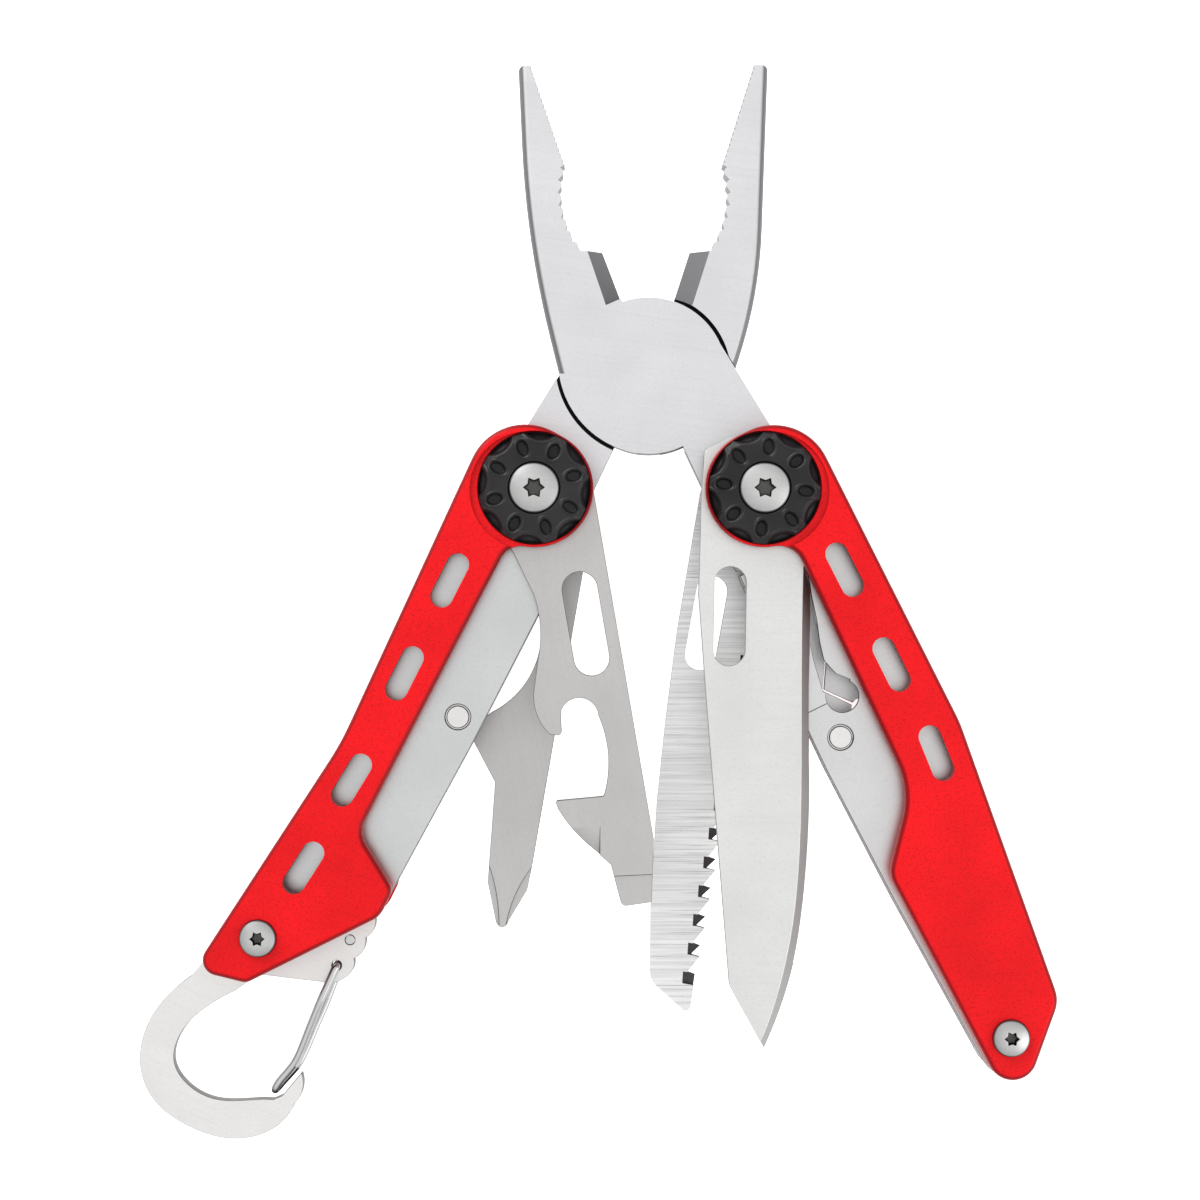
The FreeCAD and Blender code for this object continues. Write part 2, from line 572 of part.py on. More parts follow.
def opener():
    """Bottle opener hook, can opener claw and a flat driver tip."""
    solid = tool_blank(LEFT_TOOLS, OPENER, TOOL_LOW, TOOL_TOP, OPENER_SLOT)
    solid = solid.cut(plate(LEFT_TOOLS, BLADE_TIP, TOOL_TOP - BLADE_STEP, THICK))
    return solid.cut(ground(LEFT_TOOLS, CLAW_GRIND, TOOL_TOP, TOOL_TOP - CLAW_DEPTH))


def screwdriver():
    """Cross-head driver: a central rib with two thinner fins."""
    solid = tool_blank(LEFT_TOOLS, DRIVER, REAR_LOW, REAR_TOP)
    for flute in (FLUTE_RIGHT, FLUTE_LEFT):
        solid = solid.cut(plate(LEFT_TOOLS, flute, REAR_TOP - FLUTE_DEPTH, REAR_TOP + 1))
        solid = solid.cut(plate(LEFT_TOOLS, flute, REAR_LOW - 1, REAR_LOW + FLUTE_DEPTH))
    return solid


def saw():
    """Wood saw: pairs of pointed teeth, one of each pair ground on the front face."""
    starts = [LAST_TOOTH - TOOTH_PITCH * i for i in range(TOOTH_COUNT)]
    teeth = [(x + dx, y) for x in starts for dx, y in TOOTH][2:]
    solid = tool_blank(SAW_FRAME, SAW_BACK + teeth + SAW_TANG, REAR_LOW, REAR_TOP, SAW_SLOT)
    for x in starts:
        left, right = x + FACET_SPAN[0], x + FACET_SPAN[1]
        facet = [((left, FACET_TOP), (left, FACET_TIP)),
                 ((right, FACET_TOP - FACET_TILT), (right, FACET_TIP))]
        solid = solid.cut(ground(SAW_FRAME, facet, REAR_TOP, REAR_LOW + FACET_EDGE))
    return solid


# ---------------------------------------------------------------- snap hook
HOOK_OUTER = [(84.3, -8.55), (88.3, -10.1), (92.4, -10.65), (96.5, -9.95), (99.8, -8.1), (102.5, -4.35),
              (103.3, 1.0), (101.7, 8.0), (98.0, 12.1), (93.0, 13.25)]
HOOK_INNER = [(94.6, 9.1), (96.4, 6.3), (98.0, 3.0), (98.0, -1.7), (96.2, -4.7), (92.9, -5.8),
              (88.3, -4.95), (83.2, -2.1)]


def spline_edge(frame, points, z):
    curve = Part.BSplineCurve()
    curve.interpolate([frame.at(x, y, z) for x, y in points])
    return curve.toShape()


def line_edges(frame, points, z):
    places = [frame.at(x, y, z) for x, y in points]
    return [Part.LineSegment(a, b).toShape() for a, b in zip(places, places[1:])]


def arc_edge(frame, first, middle, last, z):
    return Part.Arc(frame.at(*first, z), frame.at(*middle, z), frame.at(*last, z)).toShape()


def carabiner_plate():
    """The hook, its root between the liners and the scalloped corner that carries the wire."""
    z = MID - PLATE_T / 2
    edges = [spline_edge(LEFT, HOOK_OUTER, z)]
    edges.append(arc_edge(LEFT, HOOK_OUTER[-1], (90.0, 12.95), (88.7, 11.9), z))
    edges += line_edges(LEFT, [(88.7, 11.9), (92.9, 11.15), (94.0, 10.3), HOOK_INNER[0]], z)
    edges.append(spline_edge(LEFT, HOOK_INNER, z))
    edges += line_edges(LEFT, [HOOK_INNER[-1], (79.5, -0.3), (76.1, 7.85)], z)
    edges.append(arc_edge(LEFT, (76.1, 7.85), (74.6, 10.2), (72.5, 11.05), z))
    edges.append(arc_edge(LEFT, (72.5, 11.05), (71.6, 10.9), (70.85, 10.4), z))
    edges.append(arc_edge(LEFT, (70.85, 10.4), (69.1, 11.0), (67.45, 10.4), z))
    edges.append(arc_edge(LEFT, (67.45, 10.4), (65.9, 10.85), (64.4, 10.3), z))
    edges += line_edges(LEFT, [(64.4, 10.3), (63.6, 9.2), (69.0, -6.0), (78.0, -7.3), HOOK_OUTER[0]], z)
    face = Part.Face(Part.Wire(Part.__sortEdges__(edges)))
    solid = face.extrude(V(0, 0, PLATE_T))
    solid = solid.cut(drum(LEFT, TAIL_L[0], TAIL_L[1], TAIL_SLEEVE_R, 0, THICK))
    for x, y in (GATE_HOLE, WIRE_HOLE):
        solid = solid.cut(drum(LEFT, x, y, WIRE_HOLE_R, 0, THICK))
    return solid


WIRE_CLEAR = 0.08
WIRE_TOP = MID + PLATE_T / 2 + WIRE_R + WIRE_CLEAR
WIRE_LOW = THICK - WIRE_TOP
FRONT_LEG = [(72.9, 8.75, MID - 0.9), (72.9, 8.75, WIRE_TOP), (78.6, 9.25, WIRE_TOP),
             (87.6, 10.35, 10.7), (92.0, 9.6, 10.62)]
NOSE_BEND = [(92.75, 9.75, 10.4), (92.75, 9.95, 9.6)]
REAR_LEG = [(92.0, 10.1, 9.38), (87.6, 10.95, 9.3), (78.6, 10.0, WIRE_LOW), (73.4, 9.25, WIRE_LOW)]
FIXED_END = [(72.6, 9.15, WIRE_LOW), (68.8, 8.6, WIRE_LOW), (68.8, 8.6, MID + PLATE_T / 2)]


def wire(frame, points):
    """Round wire along straight runs, with a ball at each bend."""
    places = [frame.at(*p) for p in points]
    solid = None
    for a, b in zip(places, places[1:]):
        run = Part.makeCylinder(WIRE_R, (b - a).Length, a, b - a)
        solid = run if solid is None else solid.fuse(run)
    for place in places[1:-1]:
        solid = solid.fuse(Part.makeSphere(WIRE_R, place))
    return solid


SPACER_R = 3.4


def spacer(frame, tail, low, high):
    return sleeve(frame, tail[0], tail[1], SPACER_R, TAIL_SLEEVE_R, low, high)


# ---------------------------------------------------------------- assembly
def handle(name, frame, form, pocket, slots, liner_form, tail, stud, knob_turn):
    """The pieces that both handles share."""
    scale = front_scale(frame, form, pocket, slots, tail)
    liner = front_liner(frame, liner_form, tail, stud)
    knob = front_knob(frame, knob_turn)
    pivot_end = THICK - (SCALE_TOP - KNOB_SEAT)
    return {
        name + "_front_scale": scale,
        name + "_rear_scale": flipped(scale),
        name + "_front_liner": liner,
        name + "_rear_liner": flipped(liner),
        name + "_front_knob": knob,
        name + "_rear_knob": flipped(knob),
        name + "_pivot_sleeve": sleeve(frame, 0, 0, SLEEVE_R, SHAFT_R, pivot_end, THICK - pivot_end),
        name + "_pivot_screws": pair(screw(frame, 0, 0, PIVOT_HEAD_R, PIVOT_HEAD_T, SHAFT_R, STAR_R)),
        name + "_tail_sleeve": sleeve(frame, tail[0], tail[1], TAIL_SLEEVE_R, TAIL_SHAFT_R,
                                      TAIL_HEAD_T, THICK - TAIL_HEAD_T),
        name + "_tail_screws": pair(screw(frame, tail[0], tail[1], TAIL_HEAD_R, TAIL_HEAD_T,
                                          TAIL_SHAFT_R, TAIL_STAR_R)),
        name + "_liner_studs": liner_studs(frame, stud),
    }


def build():
    nodes = {"front_jaw": front_jaw(), "rear_jaw": rear_jaw(), "jaw_rivet": jaw_rivet()}
    nodes.update(handle("left", LEFT, SCALE_L, POCKET_L, SLOTS_L, LINER_L, TAIL_L, STUD_L,
                        KNOB_TURN_L))
    nodes.update(handle("right", RIGHT, SCALE_R, POCKET_R, SLOTS_R, LINER_R, TAIL_R, STUD_R,
                        KNOB_TURN_R))
    for side, cut, relief, leaf in (("front", FRONT_CUT, FRONT_RELIEF, FRONT_LEAF),
                                    ("rear", REAR_CUT, REAR_RELIEF, REAR_LEAF)):
        liner = "right_" + side + "_liner"
        nodes[liner], nodes[side + "_lock_leaf"] = split_liner(nodes[liner], cut, relief, leaf)
    nodes["left_tail_spacers"] = pair(spacer(LEFT, TAIL_L, MID + PLATE_T / 2, LINER_LOW))
    nodes["right_tail_spacer"] = spacer(RIGHT, TAIL_R, THICK - LINER_LOW, LINER_LOW)
    nodes["carabiner_plate"] = carabiner_plate()
    nodes["gate_wire"] = wire(LEFT, FRONT_LEG + NOSE_BEND + REAR_LEG)
    nodes["gate_wire_end"] = wire(LEFT, FIXED_END)
    nodes["knife"] = knife()
    nodes["saw"] = saw()
    nodes["opener"] = opener()
    nodes["screwdriver"] = screwdriver()
    return nodes


def settle(nodes):
    """Move everything so that the origin is under the middle of the whole box."""
    box = Part.makeCompound(list(nodes.values())).optimalBoundingBox(False, False)
    shift = V(-(box.XMin + box.XMax) / 2, -(box.YMin + box.YMax) / 2, -box.ZMin)
    return {name: shape.translated(shift) for name, shape in nodes.items()}, shift, box


def main():
    os.makedirs("parts", exist_ok=True)
    nodes, shift, box = settle(build())
    print("shift", shift, "size", box.XLength, box.YLength, box.ZLength)
    for name, shape in nodes.items():
        if not shape.isValid():
            print("not valid:", name)
        print(name, len(shape.Solids), round(shape.Volume, 1))
        shape.exportStep("parts/" + name + ".step")


if __name__ == "__main__":
    main()
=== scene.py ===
# %% [markdown]
# # A folding multi tool
#
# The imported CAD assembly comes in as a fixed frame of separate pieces, held together by its joints.
# This lesson gives those pieces their finishes. It then models the few pieces that need rounder surfaces
# than the CAD gives: the grip knobs, the domed screws and the wire gate.
# Lengths are in metres, and `MM` is one millimetre.

# %% Load the frame
import json
import math
import bpy
import numpy as np
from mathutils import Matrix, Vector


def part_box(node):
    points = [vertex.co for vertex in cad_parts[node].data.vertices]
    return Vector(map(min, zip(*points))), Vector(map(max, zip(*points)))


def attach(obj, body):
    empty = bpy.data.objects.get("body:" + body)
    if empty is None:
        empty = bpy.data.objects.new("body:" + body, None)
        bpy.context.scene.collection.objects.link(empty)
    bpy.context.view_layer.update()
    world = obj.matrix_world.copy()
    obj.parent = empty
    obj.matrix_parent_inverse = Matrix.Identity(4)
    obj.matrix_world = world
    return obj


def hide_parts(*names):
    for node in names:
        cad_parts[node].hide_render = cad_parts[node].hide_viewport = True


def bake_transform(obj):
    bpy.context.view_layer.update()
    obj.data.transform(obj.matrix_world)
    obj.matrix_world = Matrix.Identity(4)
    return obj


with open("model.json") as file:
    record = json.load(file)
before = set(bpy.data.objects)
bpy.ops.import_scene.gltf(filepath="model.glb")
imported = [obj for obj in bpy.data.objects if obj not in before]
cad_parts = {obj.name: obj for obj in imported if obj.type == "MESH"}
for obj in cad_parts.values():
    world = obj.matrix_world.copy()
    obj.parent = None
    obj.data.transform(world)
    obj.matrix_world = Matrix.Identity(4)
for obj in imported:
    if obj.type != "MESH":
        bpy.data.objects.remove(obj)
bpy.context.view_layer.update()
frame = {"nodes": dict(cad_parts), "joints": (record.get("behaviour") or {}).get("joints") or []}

MM = 0.001
nodes = frame["nodes"]
joints = {j["name"]: j for j in frame["joints"]}

# %% [markdown]
# ## Where things are
#
# The knobs and screws share the axes that the handles turn on. Their places could be typed in, but then
# they would drift when the CAD changes, so every position is read from a joint or from a piece's box.

# %% Joints, screws and the total thickness
def joint_at(name):
    """The middle of a joint, as an array."""
    return np.array(joints[name]["pos_m"], float)


def middle(node):
    """The middle of a piece's box."""
    low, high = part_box(node)
    return (np.array(low) + np.array(high)) / 2


rivet = joint_at("plier_joint")
left_pivot = joint_at("left_handle_fold")
right_pivot = joint_at("right_handle_fold")
left_tail = middle("left_tail_screws")
right_tail = middle("right_tail_screws")
left_low, left_high = (np.array(corner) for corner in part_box("left_pivot_screws"))
BASE = left_low[2]
TOP = left_high[2]
print("rivet", rivet, "thickness", TOP - BASE)

# %% [markdown]
# ## Marks that the finishes share
#
# All the steel here is brushed: fine straight scratches, a slightly cloudy tone and a few pits, with rougher
# cut edges painted darker as shade. Painted textures could show that, but they need unwrapped surfaces.
# Noise on the object's own coordinates needs none, so the marks are three node groups, built once and
# placed in every material with other values. Small helpers keep the node building short.

# %% Helpers for node trees
def group(name, inputs, outputs):
    """An empty node group with the named inputs (name, type, default) and outputs (name, type)."""
    tree = bpy.data.node_groups.new(name, "ShaderNodeTree")
    for label, kind, default in inputs:
        tree.interface.new_socket(label, in_out="INPUT", socket_type=kind).default_value = default
    for label, kind in outputs:
        tree.interface.new_socket(label, in_out="OUTPUT", socket_type=kind)
    return tree, tree.nodes.new("NodeGroupInput"), tree.nodes.new("NodeGroupOutput")


def add(tree, kind, links=(), numbers=(), **properties):
    """A node with its properties set, some inputs linked and others given numbers."""
    node = tree.nodes.new(kind)
    for key, value in properties.items():
        setattr(node, key, value)
    for key, source in links:
        tree.links.new(source, node.inputs[key])
    for key, number in numbers:
        node.inputs[key].default_value = number
    return node


def ranged(tree, value, low, high, to_low, to_high):
    """A value mapped from one range to another."""
    limits = (("From Min", low), ("From Max", high), ("To Min", to_low), ("To Max", to_high))
    return add(tree, "ShaderNodeMapRange", [("Value", value)], limits).outputs[0]


def give(tree, result, outputs):
    """Links a group's outputs, by name."""
    for label, socket in outputs:
        tree.links.new(socket, result.inputs[label])


print("helpers:", [helper.__name__ for helper in (group, add, ranged, give)])

# %% [markdown]
# ### Brushing
#
# A belt leaves scratches that are long one way and narrow the other. Noise squeezed along one
# direction looks the same. It comes at two sizes, for hairlines and for the broader bands under them.

# %% Brushing group
LINE_SQUEEZE = 0.012       # noise scale along the lines, against one across them
BAND_SHARE = 0.28          # the bands' scale, against the hairlines'


def brushing_group():
    """Turn the coordinates by an angle, squeeze them along x, and read noise at two scales."""
    tree, given, result = group(
        "Brushing", [("Angle", "NodeSocketFloat", 0.0), ("Lines", "NodeSocketFloat", 4000.0)],
        [("Fine", "NodeSocketFloat"), ("Coarse", "NodeSocketFloat")])
    place = add(tree, "ShaderNodeTexCoord")
    turn = add(tree, "ShaderNodeCombineXYZ", [("Z", given.outputs["Angle"])])
    turned = add(tree, "ShaderNodeMapping",
                 [("Vector", place.outputs["Object"]), ("Rotation", turn.outputs[0])])
    squeezed = add(tree, "ShaderNodeMapping", [("Vector", turned.outputs[0])],
                   [("Scale", (LINE_SQUEEZE, 1.0, 1.0))]).outputs[0]
    wide = add(tree, "ShaderNodeMath", [(0, given.outputs["Lines"])], [(1, BAND_SHARE)], operation="MULTIPLY")
    fine = add(tree, "ShaderNodeTexNoise", [("Vector", squeezed), ("Scale", given.outputs["Lines"])],
               [("Detail", 4.0)])
    coarse = add(tree, "ShaderNodeTexNoise", [("Vector", squeezed), ("Scale", wide.outputs[0])],
                 [("Detail", 2.0)])
    give(tree, result, [("Fine", fine.outputs["Fac"]), ("Coarse", coarse.outputs["Fac"])])
    return tree


BRUSHING = brushing_group()
print("group:", BRUSHING.name)

# %% [markdown]
# ### Flat faces and cut edges
#
# Only the broad faces of a plate are polished; its cut edges stay rough, and their colour is painted
# dark as shade. A second material on those faces would mean choosing faces by hand. The normal already
# tells them apart: on a broad face it points straight up or down.

# %% Flatness group
LEANING, UPRIGHT = 0.88, 0.995      # upward part of the normal where a face starts and ends to count as flat


def flatness_group():
    """One on faces that look straight up or down, falling to zero as they lean away."""
    tree, _, result = group("Flatness", [], [("Flat", "NodeSocketFloat")])
    geometry = add(tree, "ShaderNodeNewGeometry")
    parts = add(tree, "ShaderNodeSeparateXYZ", [(0, geometry.outputs["Normal"])])
    size = add(tree, "ShaderNodeMath", [(0, parts.outputs["Z"])], operation="ABSOLUTE")
    give(tree, result, [("Flat", ranged(tree, size.outputs[0], LEANING, UPRIGHT, 0.0, 1.0))])
    return tree


FLATNESS = flatness_group()
print("group:", FLATNESS.name)

# %% [markdown]
# ### Grain, clouds and pits
#
# Blasted, cast and handled surfaces all have a fine grain, a soft unevenness and here and there a pit.
# Two noises give the first two. The pits are the cores of scattered cells, which keeps them rare.

# %% Speckle group
CLOUD_SCALE, PIT_SCALE = 90.0, 420.0
PIT_CORE, PIT_EDGE = 0.02, 0.09     # distance from a cell's middle where a pit is full and where it ends


def speckle_group():
    """Fine speckle, a cloudy unevenness and rare small pits."""
    tree, given, result = group(
        "Speckle", [("Grain", "NodeSocketFloat", 3000.0)],
        [("Grain", "NodeSocketFloat"), ("Cloud", "NodeSocketFloat"), ("Pits", "NodeSocketFloat")])
    place = add(tree, "ShaderNodeTexCoord").outputs["Object"]
    grain = add(tree, "ShaderNodeTexNoise", [("Vector", place), ("Scale", given.outputs["Grain"])],
                [("Detail", 3.0)])
    cloud = add(tree, "ShaderNodeTexNoise", [("Vector", place)], [("Scale", CLOUD_SCALE), ("Detail", 3.0)])
    spots = add(tree, "ShaderNodeTexVoronoi", [("Vector", place)], [("Scale", PIT_SCALE)])
    pits = ranged(tree, spots.outputs["Distance"], PIT_CORE, PIT_EDGE, 1.0, 0.0)
    give(tree, result, [("Grain", grain.outputs["Fac"]), ("Cloud", cloud.outputs["Fac"]), ("Pits", pits)])
    return tree


SPECKLE = speckle_group()
print("group:", SPECKLE.name)

# %% [markdown]
# ## From marks to materials
#
# Every finish here is built the same way: a base colour with tints laid over it, each where one of the
# marks is strong. One function that lays a list of tints keeps the finishes as short tables of values,
# which is easier to tune than a drawn node tree.

# %% Helpers for materials
def colour(r, g, b):
    """A colour with full cover."""
    return (r, g, b, 1.0)


def shade(share, tone):
    """A tone made darker to a share of itself."""
    return colour(*(share * part for part in tone))


def material_for(name):
    """A new material, its node tree and the shader that takes its looks."""
    material = bpy.data.materials.new(name)
    material.use_nodes = True
    return material, material.node_tree, material.node_tree.nodes["Principled BSDF"]


def set_numbers(node, **values):
    """Sets unlinked inputs; an underscore in a name stands for a space."""
    for key, value in values.items():
        node.inputs[key.replace("_", " ")].default_value = value


def uses(tree, shared, **values):
    """A shared group placed in a material, with its inputs set."""
    node = add(tree, "ShaderNodeGroup", node_tree=shared)
    set_numbers(node, **values)
    return node


def between(tree, factor, first, second):
    """A colour between two, by a factor."""
    node = add(tree, "ShaderNodeMix", [("Factor", factor)], data_type="RGBA")
    for label, value in (("A", first), ("B", second)):
        socket = [s for s in node.inputs if s.name == label and s.type == "RGBA"][0]
        if isinstance(value, tuple):
            socket.default_value = value
        else:
            tree.links.new(value, socket)
    return [s for s in node.outputs if s.type == "RGBA"][0]


def layered(tree, base, tints):
    """A base with tints (mark, where it starts and ends to show, greatest share, colour) laid over it."""
    face = base
    for mark, start, full, most, tint in tints:
        face = between(tree, ranged(tree, mark, start, full, 0.0, most), face, tint)
    return face


def bumped(tree, height, strength, distance):
    """A normal bent by a height."""
    return add(tree, "ShaderNodeBump", [("Height", height)],
               [("Strength", strength), ("Distance", distance)]).outputs[0]


print("helpers:", [helper.__name__ for helper in (material_for, uses, between, layered, bumped)])

# %% [markdown]
# ### Brushed steel
#
# Jaws, tools, liners, hook and screws are all stainless steel, but each was ground another way, so each
# has its own tone, line direction and strength of scratches. One recipe with values for all of those
# keeps them a family. Where the two jaw halves lap, the steel is painted nearly black as shade.

# %% Recipe for steel
DULL = 0.84                # tone of clouds and grain, against the light tone
PIT_TONE = 0.5             # tone inside a pit, against the dark tone
# The tone of the painted shade inside the jaws' lap.
PAINTED_LAP_SHADE = 0.02


def lap_shade_mask(tree, flat, low, high):
    """One on flat faces whose height lies between two heights, where the lap's shade is painted, and zero
    elsewhere.
    """
    place = add(tree, "ShaderNodeTexCoord")
    parts = add(tree, "ShaderNodeSeparateXYZ", [(0, place.outputs["Object"])])
    inside = add(tree, "ShaderNodeMath", [(0, parts.outputs["Z"])],
                 [(1, (low + high) / 2), (2, (high - low) / 2)], operation="COMPARE")
    return add(tree, "ShaderNodeMath", [(0, inside.outputs[0]), (1, flat)], operation="MULTIPLY").outputs[0]


def steel(name, light, dark, rough, lean=0.0, lines=4000.0, marks=0.5, side=(0.30, 0.30, 0.31),
          side_rough=0.5, pits=0.15, painted_shade_heights=None):
    """Brushed steel. Lines run at the given lean; faces that aren't flat turn to the side colour, a painted
    shade.

    Faces between the two shade heights lie inside the jaws' lap and are painted nearly black as shade.
    """
    material, tree, skin = material_for(name)
    brush = uses(tree, BRUSHING, Angle=math.radians(lean), Lines=lines).outputs
    flat = uses(tree, FLATNESS).outputs["Flat"]
    spots = uses(tree, SPECKLE, Grain=2600.0).outputs
    face = layered(tree, colour(*light), [
        (brush["Fine"], 0.45, 0.33, marks, colour(*dark)),
        (brush["Coarse"], 0.42, 0.62, 0.4 * marks, colour(*dark)),
        (spots["Cloud"], 0.35, 0.7, 0.45, shade(DULL, light)),
        (spots["Grain"], 0.5, 0.75, 0.5, shade(DULL, light)),
        (spots["Pits"], 0.0, 1.0, pits, shade(PIT_TONE, dark))])
    # Painted shade: faces that lean away from straight up take the dark side colour.
    face = between(tree, flat, colour(*side), face)
    # Painted shade: flat faces inside the jaws' lap turn nearly black.
    if painted_shade_heights:
        face = between(tree, lap_shade_mask(tree, flat, *painted_shade_heights), face, colour(PAINTED_LAP_SHADE, PAINTED_LAP_SHADE, PAINTED_LAP_SHADE))
    tree.links.new(face, skin.inputs["Base Color"])
    tree.links.new(ranged(tree, flat, 0.0, 1.0, side_rough, rough), skin.inputs["Roughness"])
    tree.links.new(bumped(tree, brush["Fine"], 0.08 * marks + 0.01, 0.03 * MM), skin.inputs["Normal"])
    set_numbers(skin, Metallic=1.0)
    return material


print("recipe:", steel.__name__)

# %% [markdown]
# ### Anodised red and charcoal grip
#
# The scales are blasted aluminium, dyed red and sealed. A plain red paint looks like plastic, so the
# colour keeps a fine dark grain, is painted deeper as shade where a face leans away, and is partly metallic.
# The knobs are a moulded black plastic: nearly one tone, with a soft sheen and a faint texture.

# %% Recipes for the scales and the knobs
def anodised(name, bright, grain_and_shade_tone):
    """Blasted aluminium, anodised: fine speckle, and a deeper tone painted as shade where faces lean away."""
    material, tree, skin = material_for(name)
    spots = uses(tree, SPECKLE, Grain=4200.0).outputs
    flat = uses(tree, FLATNESS).outputs["Flat"]
    face = layered(tree, colour(*bright), [
        (spots["Grain"], 0.52, 0.72, 0.55, colour(*grain_and_shade_tone)),
        (spots["Cloud"], 0.3, 0.75, 0.3, colour(*grain_and_shade_tone))])
    # Painted shade: faces that lean away from straight up take the deep tone.
    tree.links.new(between(tree, flat, colour(*grain_and_shade_tone), face), skin.inputs["Base Color"])
    tree.links.new(bumped(tree, spots["Grain"], 0.22, 0.05 * MM), skin.inputs["Normal"])
    set_numbers(skin, Metallic=0.3, Roughness=0.45, Specular_IOR_Level=0.22)
    return material


def grip(name, dark, light):
    """Charcoal plastic with a soft sheen and a fine moulded texture."""
    material, tree, skin = material_for(name)
    spots = uses(tree, SPECKLE, Grain=3500.0).outputs
    face = layered(tree, colour(*dark), [(spots["Cloud"], 0.3, 0.7, 1.0, colour(*light))])
    tree.links.new(face, skin.inputs["Base Color"])
    tree.links.new(bumped(tree, spots["Grain"], 0.12, 0.04 * MM), skin.inputs["Normal"])
    set_numbers(skin, Roughness=0.42, Specular_IOR_Level=0.28)
    return material


RED = anodised("Red anodised", (0.84, 0.006, 0.010), (0.26, 0.0, 0.002))
GRIP = grip("Charcoal grip", (0.010, 0.009, 0.010), (0.022, 0.020, 0.022))
print("made", RED.name, "and", GRIP.name)

# %% [markdown]
# ### The steels
#
# Each line below is one finish: its light and dark tones, its roughness, the lean of its lines in
# degrees, how fine they are and how strongly they mark. Their side colours are painted shade on faces
# that lean. The saw is the most heavily scratched; the wire is polished all round, so its sides are
# smoother than a plate's and carry a lighter painted shade.

# %% Steels of the pliers, the tools and the frame
# Half the height of the band about the rivet where the lap's shade is painted.
HALF_SHADED_LAP = 2.2 * MM
PLIERS = steel("Plier steel", (0.77, 0.77, 0.785), (0.64, 0.64, 0.65), 0.42, lean=8.0, lines=2600.0,
               marks=0.25, side=(0.17, 0.17, 0.175), painted_shade_heights=(rivet[2] - HALF_SHADED_LAP, rivet[2] + HALF_SHADED_LAP))
KNIFE = steel("Knife steel", (0.81, 0.81, 0.795), (0.73, 0.73, 0.715), 0.38, lines=2400.0,
              marks=0.25, side=(0.32, 0.32, 0.315))
SAW = steel("Saw steel", (0.97, 0.97, 0.97), (0.34, 0.34, 0.345), 0.38, lines=8000.0,
            marks=0.75, side=(0.05, 0.05, 0.055))
OPENER = steel("Opener steel", (0.60, 0.59, 0.58), (0.51, 0.50, 0.49), 0.38, lean=80.0, lines=2400.0,
               marks=0.2, side=(0.10, 0.10, 0.10))
LINER = steel("Liner steel", (0.72, 0.735, 0.735), (0.62, 0.625, 0.625), 0.30, lean=60.0, lines=3500.0,
              marks=0.15, side=(0.10, 0.10, 0.10))
LINER_RIGHT = steel("Liner steel right", (0.77, 0.765, 0.765), (0.67, 0.665, 0.665), 0.30, lean=-64.0,
                    lines=3500.0, marks=0.15, side=(0.10, 0.10, 0.10))
HOOK = steel("Hook steel", (0.90, 0.885, 0.87), (0.74, 0.73, 0.72), 0.36, lean=25.0, lines=1200.0,
             marks=0.15, side=(0.12, 0.12, 0.12))
SCREW = steel("Screw steel", (0.66, 0.66, 0.655), (0.50, 0.50, 0.495), 0.34, lean=15.0, lines=3500.0,
              marks=0.3, side=(0.14, 0.14, 0.14))
# Painted shade: a near-black steel for the screws' star recess.
PAINTED_RECESS_SHADE = steel("Recess steel", (0.13, 0.13, 0.125), (0.05, 0.05, 0.05), 0.5, lean=15.0, lines=3500.0,
               marks=0.3, side=(0.012, 0.012, 0.012))
WIRE = steel("Wire steel", (0.72, 0.72, 0.72), (0.60, 0.60, 0.60), 0.2, marks=0.1,
             side=(0.34, 0.34, 0.345), side_rough=0.25)
print(len(bpy.data.materials), "materials")

# %% [markdown]
# ## Dressing the CAD pieces
#
# Each CAD piece takes its finish by its name. Real plates have slightly broken edges; these lean, so
# the steel paints them as thin darker lines of shade round every slot. The CAD meshes are loose
# triangles with razor edges, so modifiers weld them, join each flat face into one, and bevel only the
# true corners. The meshes stay as they came.
# Jaws and saw keep their sharp corners, because a bevelled saw touches the liner beside it at the end
# of its swing.

# %% Finishes and broken edges
FINISHES = [("scale", RED), ("knob", GRIP), ("screws", SCREW), ("sleeve", SCREW), ("spacer", LINER),
            ("studs", HOOK), ("jaw", PLIERS), ("knife", KNIFE), ("saw", SAW), ("opener", OPENER),
            ("screwdriver", OPENER), ("carabiner", HOOK), ("gate_wire", WIRE), ("lock_leaf", LINER_RIGHT),
            ("right_", LINER_RIGHT), ("left_", LINER)]
BROKEN = ("knife", "opener", "screwdriver", "liner", "leaf", "carabiner")
EDGE_WIDTH = 0.09 * MM
WELD_REACH = 0.002 * MM
SAME_FACE = math.radians(0.3)       # neighbours closer than this are one flat face
CORNER = math.radians(35)           # and those further apart than this meet in a corner


def break_edges(piece):
    """Welds a piece, joins its flat faces and bevels its corners, with the shading kept even."""
    weld = piece.modifiers.new("Weld", "WELD")
    weld.merge_threshold = WELD_REACH
    flat = piece.modifiers.new("Whole faces", "DECIMATE")
    flat.decimate_type = "DISSOLVE"
    flat.angle_limit = SAME_FACE
    edge = piece.modifiers.new("Broken edge", "BEVEL")
    edge.width = EDGE_WIDTH
    edge.segments = 2
    edge.limit_method = "ANGLE"
    edge.angle_limit = CORNER
    edge.use_clamp_overlap = False
    edge.face_strength_mode = "FSTR_ALL"
    even = piece.modifiers.new("Even faces", "WEIGHTED_NORMAL")
    even.use_face_influence = True


for name, piece in nodes.items():
    piece.data.materials.clear()
    piece.data.materials.append(next(material for word, material in FINISHES if word in name))
    if any(word in name for word in BROKEN):
        break_edges(piece)
print("dressed", len(nodes), "pieces, edges broken on", sum(len(p.modifiers) > 0 for p in nodes.values()))

